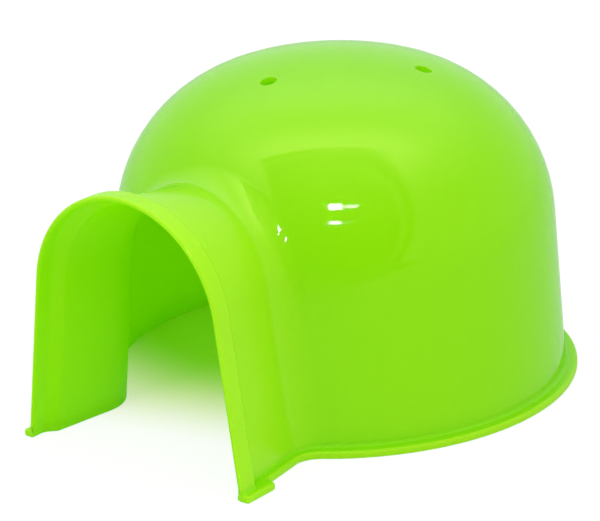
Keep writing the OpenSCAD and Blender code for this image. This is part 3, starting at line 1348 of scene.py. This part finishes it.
@dataclass(frozen=True)
class View:
    """Camera of the photograph, with its lengths in millimetres."""

    azimuth: float = math.radians(39.09)
    elevation: float = math.radians(20.18)
    roll: float = math.radians(-1.98)
    distance: float = 938.56
    slide_x: float = -11.48
    slide_z: float = 34.715
    lens: float = 180.0
    sensor: float = 36.0
    clip: Band = (0.05, 20.0)

    @property
    def right(self) -> Triple:
        """Level direction to the right of the camera."""
        return (math.cos(self.azimuth), math.sin(self.azimuth), 0.0)

    @property
    def front(self) -> Triple:
        """Level direction from the shelter towards the camera."""
        return (math.sin(self.azimuth), -math.cos(self.azimuth), 0.0)

    def build(self) -> None:
        """Creates the camera."""
        right = np.array(self.right)
        back = np.array(self.front) * math.cos(self.elevation) + (0.0, 0.0, math.sin(self.elevation))
        up = np.cross(back, right)
        c, s = heading(self.roll)
        right, up = c * right + s * up, c * up - s * right
        place = right * self.slide_x + back * self.distance + (0.0, AXIS_Y, self.slide_z)
        data = bpy.data.cameras.new("camera")
        data.sensor_fit, data.sensor_width, data.lens = "HORIZONTAL", self.sensor, self.lens
        data.clip_start, data.clip_end = self.clip
        axes = Matrix((right, up, back)).transposed().to_4x4()
        axes.translation = Vector(place * MM)
        bpy.context.scene.camera = add_object("camera", data)
        bpy.context.scene.camera.matrix_world = axes


@dataclass(frozen=True)
class Tent:
    """Even light of the tent and what glossy rays see of it.

    They see a bright roof and, on the camera's side, a dark opening with a pale frame line and
    small bright windows. Bands are parts of a ray's direction: to the right, to the front or up.
    """

    view: View
    light: float = 0.95
    dark_side: float = 0.1
    roof_light: float = 1.1
    roof_gain: float = 1.2
    roof_band: Band = (0.45, 0.85)
    top_gain: float = 2.8
    top_ahead: Band = (-0.35, 0.1)
    top_band: Band = (0.7, 0.98)
    opening_middle: Pair = (0.07, 0.38)
    opening_half: Pair = (0.56, 0.62)
    opening_left: Band = (-0.53, -0.47)
    opening_rim: Band = (0.92, 1.08)
    opening_ahead: Band = (0.09, 0.12)
    pane_gain: float = 1.7
    line_gain: float = 0.5
    sill_line: tuple[Band, Band] = ((0.14, 0.16), (0.19, 0.22))
    rim_line: tuple[Band, Band] = ((0.66, 0.70), (0.78, 0.84))
    rim_line_aside: Band = (0.1, 0.3)
    glint_fade: Pair = (0.01, 0.005)
    glint_ahead: Band = (0.0, 0.1)
    glint_colour_band: Band = (0.0, 2.0)
    glint_tint: Colour = (0.8, 0.9, 2.4, 1.0)
    glints: tuple[tuple[Band, Band, float], ...] = (
        ((-0.055, 0.035), (0.637, 0.675), 110.0),
        ((0.055, 0.17), (0.647, 0.653), 60.0),
        ((-0.06, 0.025), (0.495, 0.511), 80.0),
        ((-0.10, 0.14), (0.500, 0.503), 8.0),
    )

    def mirrored(self, shader: Shader, aside: Sock, ahead: Sock, up: Sock) -> Sock:
        """Lays out the roof and the opening.

        Args:
            shader: Builder of the world's nodes.
            aside: Part of the ray's direction to the right.
            ahead: Part of it to the front.
            up: Part of it upwards.

        Returns:
            Their light.
        """
        (middle_x, middle_z), (half_x, half_z) = self.opening_middle, self.opening_half
        across, above = shader.high(aside - middle_x, 0.0) / half_x, (up - middle_z) / half_z
        rim = across * across + above * above
        opening = shader.rise(aside, self.opening_left) * shader.fall(rim, self.opening_rim)
        opening = opening * shader.rise(ahead, self.opening_ahead)
        top = shader.rise(ahead, self.top_ahead) * shader.rise(up, self.top_band)
        roof = shader.rise(up, self.roof_band) * self.roof_gain + self.roof_light + top * self.top_gain
        rim_line = shader.strip(rim, *self.rim_line) * shader.rise(aside, self.rim_line_aside)
        lines = shader.high(shader.strip(ahead, *self.sill_line), rim_line)
        pane = up * up * shader.high(up, 0.0) * self.pane_gain + self.dark_side + lines * self.line_gain
        return roof + opening * (pane - roof)

    def build(self) -> None:
        """Creates the world."""
        world = bpy.data.worlds.new("tent")
        world.use_nodes = True
        bpy.context.scene.world = world
        shader = Shader(world.node_tree)
        way, path = shader.node("ShaderNodeTexCoord")["Generated"], shader.node("ShaderNodeLightPath")
        aside, ahead, up = (shader.along(way, axis) for axis in (self.view.right, self.view.front, (0, 0, 1)))
        spark = 0.0
        fade_x, fade_z = self.glint_fade
        for (left, right), (low, high), strength in self.glints:
            glint = shader.strip(aside, (left - fade_x, left), (right, right + fade_x))
            glint = glint * shader.strip(up, (low - fade_z, low), (high, high + fade_z))
            spark = glint * shader.rise(ahead, self.glint_ahead) * strength + spark
        glossy = path["Is Glossy Ray"]
        plain = shader.high(path["Is Camera Ray"], path["Is Transmission Ray"])
        even = plain + (1.0 - plain) * self.light
        strength = glossy * (self.mirrored(shader, aside, ahead, up) + spark) + (1.0 - glossy) * even
        colour = shader.mix(glossy * shader.rise(spark, self.glint_colour_band), WHITE, self.glint_tint)
        tent = shader.node("ShaderNodeBackground", None, {"Color": colour, "Strength": strength})
        shader.node("ShaderNodeOutputWorld", None, {"Surface": tent})


@dataclass(frozen=True)
class Floor:
    """White sheet under the shelter, with painted green light and shade where the moulding stands over it.

    Bands are in metres from the dome's axis: outwards, sideways, or along the tunnel.
    """

    view: View
    half: float = 2.5
    height: float = -0.0001
    paint: Colour = (0.9, 0.9, 0.9, 1.0)
    # painted light: green paint and a green glow stand for light through the green walls
    green_light_paint: Colour = (0.88, 0.94, 0.22, 1.0)
    green_light_glow: Colour = (1.0, 0.98, 0.4, 1.0)
    seen_white: float = 1.04
    mirrored_white: float = 0.95
    mirrored_dark: float = Tent.dark_side
    glow_share: float = 0.85
    dome_band: Band = (0.0705, 0.0745)
    aside_band: Band = (0.0395, 0.0425)
    tunnel_band: Band = (-0.05, -0.04)
    shade_band: Band = (-0.0855, -0.0195)
    shade_x: float = 0.036
    shade_slant: float = 0.22
    dark_band: Band = (0.22, 0.35)
    dark_slant: float = 0.9

    def make(self) -> bpy.types.Material:
        """Makes the sheet's material.

        Returns:
            The material, white to the camera outside the shelter, with painted green light and shade under
            it, and see-through from below.
        """
        material, shader = new_material("floor")
        path = shader.node("ShaderNodeLightPath")
        camera, glossy = path["Is Camera Ray"], path["Is Glossy Ray"]
        spot = shader.node("ShaderNodeTexCoord")["Object"]
        from_axis = shader.vector("SUBTRACT", spot, (0.0, AXIS_Y * MM, 0.0))[0]
        sideways, depth = shader.along(from_axis, (1, 0, 0)), shader.along(from_axis, (0, 1, 0))
        in_dome = shader.fall(shader.vector("LENGTH", from_axis)["Value"], self.dome_band)
        in_tunnel = shader.fall(abs(sideways), self.aside_band) * shader.fall(depth, self.tunnel_band)
        shade = shader.rise(depth - abs(sideways + self.shade_x) * self.shade_slant, self.shade_band)
        # painted green light and shade on the floor under the moulding
        green_light_and_shade = shader.high(in_dome, in_tunnel) * shade
        front, right = (shader.along(from_axis, axis) for axis in (self.view.front, self.view.right))
        dark = shader.rise(front - shader.high(right, 0.0) * self.dark_slant, self.dark_band)
        mirrored = self.mirrored_white - dark * (self.mirrored_white - self.mirrored_dark)
        glow = {
            "Color": shader.mix(green_light_and_shade, WHITE, self.green_light_glow),
            "Strength": camera * self.seen_white + glossy * mirrored,
        }
        white = shader.node("ShaderNodeEmission", None, glow)
        colour = shader.mix(green_light_and_shade, self.paint, self.green_light_paint)
        paint = shader.node("ShaderNodeBsdfDiffuse", None, {"Color": colour})
        sheet = shader.layer(shader.high(camera, glossy) * (1.0 - green_light_and_shade) * self.glow_share, paint, white)
        under = shader.node("ShaderNodeNewGeometry")["Backfacing"] * camera
        surface = shader.layer(under, sheet, shader.node("ShaderNodeBsdfTransparent"))
        shader.node("ShaderNodeOutputMaterial", None, {"Surface": surface})
        return material

    def build(self) -> None:
        """Creates the floor."""
        mesh = bpy.data.meshes.new("floor")
        ways = ((-1, -1), (1, -1), (1, 1), (-1, 1))
        corners = [(x * self.half, y * self.half, self.height) for x, y in ways]
        mesh.from_pydata(corners, [], [(0, 1, 2, 3)])
        mesh.materials.append(self.make())
        floor = add_object("floor", mesh)


@dataclass(frozen=True)
class Lamp:
    """Square lamp that faces the shelter, in metres and watts."""

    name: str = "top_lamp"
    place: Triple = (0.25, -0.35, 1.1)
    aim: Triple = (0.0, 0.0, 0.05)
    size: float = 0.7
    power: float = 5.0

    def build(self) -> None:
        """Creates the lamp, which doesn't show in the gloss."""
        data = bpy.data.lights.new(self.name, "AREA")
        data.size, data.energy = self.size, self.power
        lamp = add_object(self.name, data)
        lamp.location = self.place
        lamp.visible_glossy = False
        lamp.rotation_euler = (Vector(self.place) - Vector(self.aim)).to_track_quat("Z", "Y").to_euler()


class Igloo:
    """The whole shelter."""

    def __init__(self) -> None:
        """Sets up the sizes and the finishes that the pieces share."""
        self.dome = Dome()
        self.tunnel = Tunnel(self.dome, Mouth())
        self.shell = DomeShell(self.dome, self.tunnel)
        self.materials = {Slot.PLASTIC: LimePlastic().make(), Slot.CUT: cut_material()}

    def dress(self, piece: bpy.types.Object, *nodes: str) -> None:
        """Gives a piece its finish and its place in the frame.

        Args:
            piece: The piece.
            nodes: CAD nodes that it stands for.
        """
        for slot in Slot:
            piece.data.materials.append(self.materials[slot])
        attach(piece, "root")
        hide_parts(*nodes)
        LOG.info("%s: %d faces", piece.name, len(piece.data.polygons))

    def build(self) -> None:
        """Builds and dresses every piece."""
        self.dress(Crown(self.dome, self.shell.crown_ring).build(), "crown_cap")
        self.dress(self.shell.build(), "dome_body")
        for name, piece in Entrance(self.tunnel).build().items():
            self.dress(piece, name)
        self.dress(BaseRing(self.dome, self.tunnel, self.shell).build(), "left_foot", "right_foot")


def main() -> None:
    """Builds the studio and the shelter."""
    logging.basicConfig(level=logging.INFO, format="%(message)s")
    bpy.context.scene.view_settings.view_transform = "Standard"
    view = View()
    for part in (view, Floor(view), Tent(view), Lamp(), Igloo()):
        part.build()


if __name__ == "__main__":
    main()
